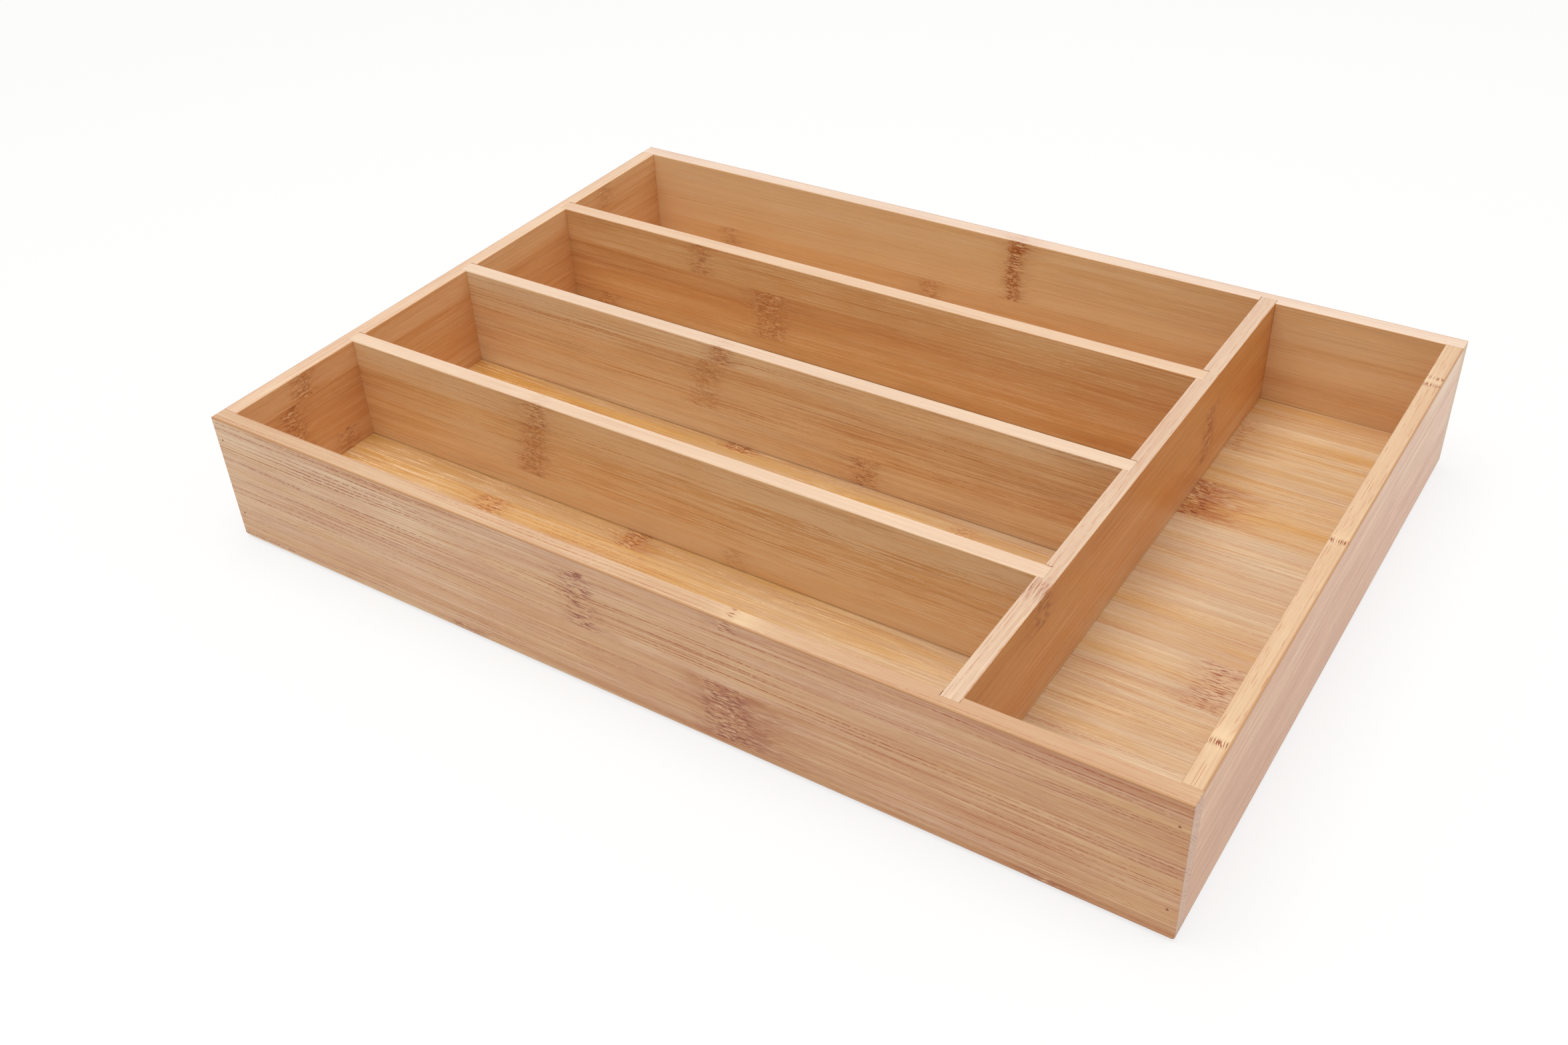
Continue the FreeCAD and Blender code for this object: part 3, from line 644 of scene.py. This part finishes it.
    # painted shadow in the gaps at the feet of the boards that stand on the floor panel
    if board is basePanel:
        layers.append((paintedGapShadow(tree, inMillimetres), wearAndShade["gapShadowColour"]))
    now = bamboo.outputs["Colour"]
    for share, tint in layers:
        now = addNode(tree, "ShaderNodeMix", data_type="RGBA", feeds={
            0: share, 6: now, 7: toLinear(tint)}).outputs[2]

    relief = addNode(tree, "ShaderNodeBump", {
        "Strength": lacquer["relief"], "Distance": lacquer["reliefDepth"],
        "Height": bamboo.outputs["Height"]})
    finish = addNode(tree, "ShaderNodeBsdfPrincipled", {
        "Base Color": now, "Roughness": bamboo.outputs["Rough"], "Normal": relief,
        "IOR": lacquer["ior"], "Coat Weight": lacquer["coat"], "Coat Roughness": lacquer["coatRough"]})
    tree.links.new(finish.outputs[0], out.inputs["Surface"])
    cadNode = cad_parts[board["node"]]
    cadNode.data.materials.clear()
    cadNode.data.materials.append(material)


for board in boards:
    dressBoard(board)
print("boards dressed:", len(boards))

# Eight pin nails hold the corners: two in each end of the front and back boards, driven level with the face
pinNails = {
    "nodes": ["front_left_pins", "front_right_pins", "back_left_pins", "back_right_pins"],
    "sides": 24,
    "rings": 3,                       # of faces on the head
    "dish": 0.10 * millimetre,        # the wax in the nail hole sinks a little as it dries
    "wax": "#95502F",
    "dust": "#9A7A66",
    "blotch": 0.5,                    # mm
    "blotchDetail": 2.0,
    "dustEdge": (0.4, 0.7),           # noise levels at which dust begins and covers
    "rough": (0.45, 0.7),             # of the wax and of the dust
    "ior": 1.44,
}


def pinMaterial():
    # steel brad, its head sunk and filled with coloured wax: a dull brown dot, mottled, hardly shiny
    material, tree, out = newMaterial("waxFilledSteelBrad")
    where = addNode(tree, "ShaderNodeTexCoord")
    blotch = addNode(tree, "ShaderNodeTexNoise", {
        "Vector": where.outputs["Object"], "Scale": 1 / (pinNails["blotch"] * millimetre),
        "Detail": pinNails["blotchDetail"]})
    begins, covers = pinNails["dustEdge"]
    tint = addNode(tree, "ShaderNodeMapRange", {"Value": blotch, "From Min": begins, "From Max": covers})
    mixed = addNode(tree, "ShaderNodeMix", data_type="RGBA", feeds={
        0: tint, 6: toLinear(pinNails["wax"]), 7: toLinear(pinNails["dust"])})
    waxRough, dustRough = pinNails["rough"]
    rough = addNode(tree, "ShaderNodeMapRange", {"Value": blotch, "To Min": waxRough, "To Max": dustRough})
    wax = addNode(tree, "ShaderNodeBsdfPrincipled", {
        "Base Color": mixed.outputs[2], "Roughness": rough, "IOR": pinNails["ior"]})
    tree.links.new(wax.outputs[0], out.inputs["Surface"])
    return material


def pinTree():
    lengths = ["Diameter", "Length", "Dish", "Side offset", "Low", "High", "Front face"]
    tree, given, out = newGroup(
        "pinNailRows", "GeometryNodeTree",
        [("Geometry", geometrySocket)] + [(name, numberSocket) for name in lengths]
        + [("Sides", wholeSocket), ("Material", materialSocket)],
        [("Geometry", geometrySocket)])
    get = given.outputs
    radius = addNode(tree, "ShaderNodeMath", {0: get["Diameter"], 1: 0.5}, operation="MULTIPLY")
    nail = addNode(tree, "GeometryNodeMeshCylinder", fill_type="TRIANGLE_FAN", feeds={
        "Vertices": get["Sides"], "Side Segments": 1, "Fill Segments": pinNails["rings"], "Radius": radius,
        "Depth": get["Length"]})

    # the head is the upper end: its middle sinks, and its outer ring stays level with the board
    place = addNode(tree, "ShaderNodeSeparateXYZ", {0: addNode(tree, "GeometryNodeInputPosition")})
    flat = addNode(tree, "ShaderNodeCombineXYZ", {0: place.outputs[0], 1: place.outputs[1]})
    fromAxis = addNode(tree, "ShaderNodeVectorMath", {0: flat}, operation="LENGTH")
    ratio = addNode(tree, "ShaderNodeMath", {0: fromAxis.outputs["Value"], 1: radius}, operation="DIVIDE")
    bowl = addNode(tree, "ShaderNodeMapRange", {"Value": ratio, "From Min": 1.0, "From Max": 0.0})
    sunk = addNode(tree, "ShaderNodeMath", {0: bowl, 1: get["Dish"]}, operation="MULTIPLY")
    down = addNode(tree, "ShaderNodeMath", {0: sunk, 1: -1.0}, operation="MULTIPLY")
    drop = addNode(tree, "ShaderNodeCombineXYZ", {2: down})
    head = addNode(tree, "FunctionNodeCompare", {0: place.outputs[2], 1: 0.0}, operation="GREATER_THAN")
    dished = addNode(tree, "GeometryNodeSetPosition", {"Geometry": nail, "Selection": head, "Offset": drop})

    # two by two places on the front board, each nail's head to the front, then the same turned to the back
    apart = addNode(tree, "ShaderNodeMath", {0: get["Side offset"], 1: 2.0}, operation="MULTIPLY")
    tall = addNode(tree, "ShaderNodeMath", {0: get["High"], 1: get["Low"]}, operation="SUBTRACT")
    total = addNode(tree, "ShaderNodeMath", {0: get["High"], 1: get["Low"]}, operation="ADD")
    middle = addNode(tree, "ShaderNodeMath", {0: total, 1: 0.5}, operation="MULTIPLY")
    inside = addNode(tree, "ShaderNodeMath", operation="MULTIPLY_ADD", feeds={
        0: get["Length"], 1: 0.5, 2: get["Front face"]})
    grid = addNode(tree, "GeometryNodeMeshGrid", {
        "Size X": apart, "Size Y": tall, "Vertices X": 2, "Vertices Y": 2})
    centre = addNode(tree, "ShaderNodeCombineXYZ", {1: inside, 2: middle})
    tipped = (math.radians(90), 0.0, 0.0)
    upright = addNode(tree, "GeometryNodeTransform", {
        "Geometry": grid, "Translation": centre, "Rotation": tipped})
    front = addNode(tree, "GeometryNodeInstanceOnPoints", {
        "Points": upright, "Instance": dished, "Rotation": tipped})
    back = addNode(tree, "GeometryNodeTransform", {
        "Geometry": front, "Rotation": (0.0, 0.0, math.radians(180))})
    both = addNode(tree, "GeometryNodeJoinGeometry", {0: front})
    tree.links.new(back.outputs[0], both.inputs[0])
    solid = addNode(tree, "GeometryNodeRealizeInstances", {0: both})
    dressed = addNode(tree, "GeometryNodeSetMaterial", {"Geometry": solid, "Material": get["Material"]})
    tree.links.new(dressed.outputs[0], out.inputs["Geometry"])
    return tree


def makePins():
    low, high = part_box(pinNails["nodes"][0])
    diameter = high.x - low.x
    sizes = {
        "Diameter": diameter,
        "Length": high.y - low.y,
        "Dish": pinNails["dish"],
        "Side offset": -(low.x + high.x) / 2,
        "Low": low.z + diameter / 2,
        "High": high.z - diameter / 2,
        "Front face": low.y,
        "Sides": pinNails["sides"],
        "Material": pinMaterial(),
    }
    tree = pinTree()
    source = bpy.data.objects.new("pinNailSource", bpy.data.meshes.new("pinNailSource"))
    bpy.context.collection.objects.link(source)
    rows = source.modifiers.new("pinNailRows", "NODES")
    rows.node_group = tree
    for item in tree.interface.items_tree:
        if item.in_out == "INPUT" and item.name in sizes:
            rows[item.identifier] = sizes[item.name]
    evaluated = source.evaluated_get(bpy.context.evaluated_depsgraph_get())
    mesh = bpy.data.meshes.new_from_object(evaluated)
    mesh.name = "pinNails"
    source.modifiers.remove(rows)
    bpy.data.objects.remove(source)
    nails = bpy.data.objects.new("pinNails", mesh)
    bpy.context.collection.objects.link(nails)
    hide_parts(*pinNails["nodes"])
    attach(nails, "root")
    print("pin nails made:", len(mesh.polygons), "faces")


makePins()

studio = {
    "floorSize": 6.0,                  # m
    "floorDrop": 0.3 * millimetre,     # keeps the floor just under the walls' feet
    "floorColour": "#EFEEEC",
    "floorGlow": 0.75,                 # share of plain white that the camera sees in the floor
    "floorFade": (0.5, 1.5),           # m from the middle between which the floor goes over to white
    "skyLevel": 0.48,
    "softboxes": [                     # name, place, side, watts
        ("overhead", (-0.05, -0.18, 1.45), 1.2, 18.0),
        ("rightFill", (1.4, 0.5, 1.0), 1.0, 4.0),
    ],
}


def seenDirectly(tree):
    path = addNode(tree, "ShaderNodeLightPath").outputs
    either = addNode(tree, "ShaderNodeMath", operation="MAXIMUM", feeds={
        0: path["Is Camera Ray"], 1: path["Is Glossy Ray"]})
    return addNode(tree, "ShaderNodeMath", {0: either, 1: path["Is Transmission Ray"]}, operation="MAXIMUM")


def setStudio():
    # matt white paper: even, no sheen, takes a soft shadow
    paper, tree, out = newMaterial("mattWhitePaper")
    matt = addNode(tree, "ShaderNodeBsdfDiffuse", {"Color": toLinear(studio["floorColour"])})
    glow = addNode(tree, "ShaderNodeEmission", {"Color": white, "Strength": 1.0})
    where = addNode(tree, "ShaderNodeTexCoord")
    away = addNode(tree, "ShaderNodeVectorMath", {0: where.outputs["Object"]}, operation="LENGTH")
    nearBy, farOff = studio["floorFade"]
    plain = addNode(tree, "ShaderNodeMapRange", {
        "Value": away.outputs["Value"], "From Min": nearBy, "From Max": farOff,
        "To Min": studio["floorGlow"]})
    share = addNode(tree, "ShaderNodeMath", {0: seenDirectly(tree), 1: plain}, operation="MULTIPLY")
    mixed = addNode(tree, "ShaderNodeMixShader", {0: share, 1: matt, 2: glow})
    tree.links.new(mixed.outputs[0], out.inputs["Surface"])
    bpy.ops.mesh.primitive_plane_add(size=studio["floorSize"], location=(0, 0, -studio["floorDrop"]))
    floor = bpy.context.object
    floor.name = "studioFloor"
    floor.data.materials.append(paper)

    world = bpy.data.worlds.new("whiteStudio")
    world.use_nodes = True
    bpy.context.scene.world = world
    sky = world.node_tree
    sky.nodes.clear()
    level = addNode(sky, "ShaderNodeMapRange", {
        "Value": seenDirectly(sky), "To Min": studio["skyLevel"], "To Max": 1.0})
    back = addNode(sky, "ShaderNodeBackground", {"Color": white, "Strength": level})
    end = sky.nodes.new("ShaderNodeOutputWorld")
    sky.links.new(back.outputs[0], end.inputs["Surface"])

    for name, spot, side, watts in studio["softboxes"]:
        lamp = bpy.data.lights.new(name, "AREA")
        lamp.size = side
        lamp.energy = watts
        holder = bpy.data.objects.new(name, lamp)
        holder.location = spot
        holder.rotation_euler = (-Vector(spot)).to_track_quat("-Z", "Y").to_euler()
        bpy.context.collection.objects.link(holder)


setStudio()
print("studio set")

photoCamera = {
    "place": (0.2469, -0.3945, 0.3392),     # m
    "aim": (0.0036, -0.0445, 0.0200),
    "roll": -3.08,                          # degrees, clockwise seen from behind
    "lens": 36.68,                          # mm
    "frameWidth": 36.0,                     # mm
    "nearest": 0.01,                        # m
}


def placeCamera():
    data = bpy.data.cameras.new("photoCamera")
    data.lens = photoCamera["lens"]
    data.sensor_width = photoCamera["frameWidth"]
    data.clip_start = photoCamera["nearest"]
    holder = bpy.data.objects.new("photoCamera", data)
    bpy.context.collection.objects.link(holder)
    spot = Vector(photoCamera["place"])
    level = (Vector(photoCamera["aim"]) - spot).to_track_quat("-Z", "Y")
    holder.location = spot
    holder.rotation_mode = "QUATERNION"
    holder.rotation_quaternion = level @ Quaternion((0, 0, 1), math.radians(photoCamera["roll"]))
    bpy.context.scene.camera = holder


placeCamera()
bpy.context.scene.view_settings.view_transform = "Standard"
print("camera placed")
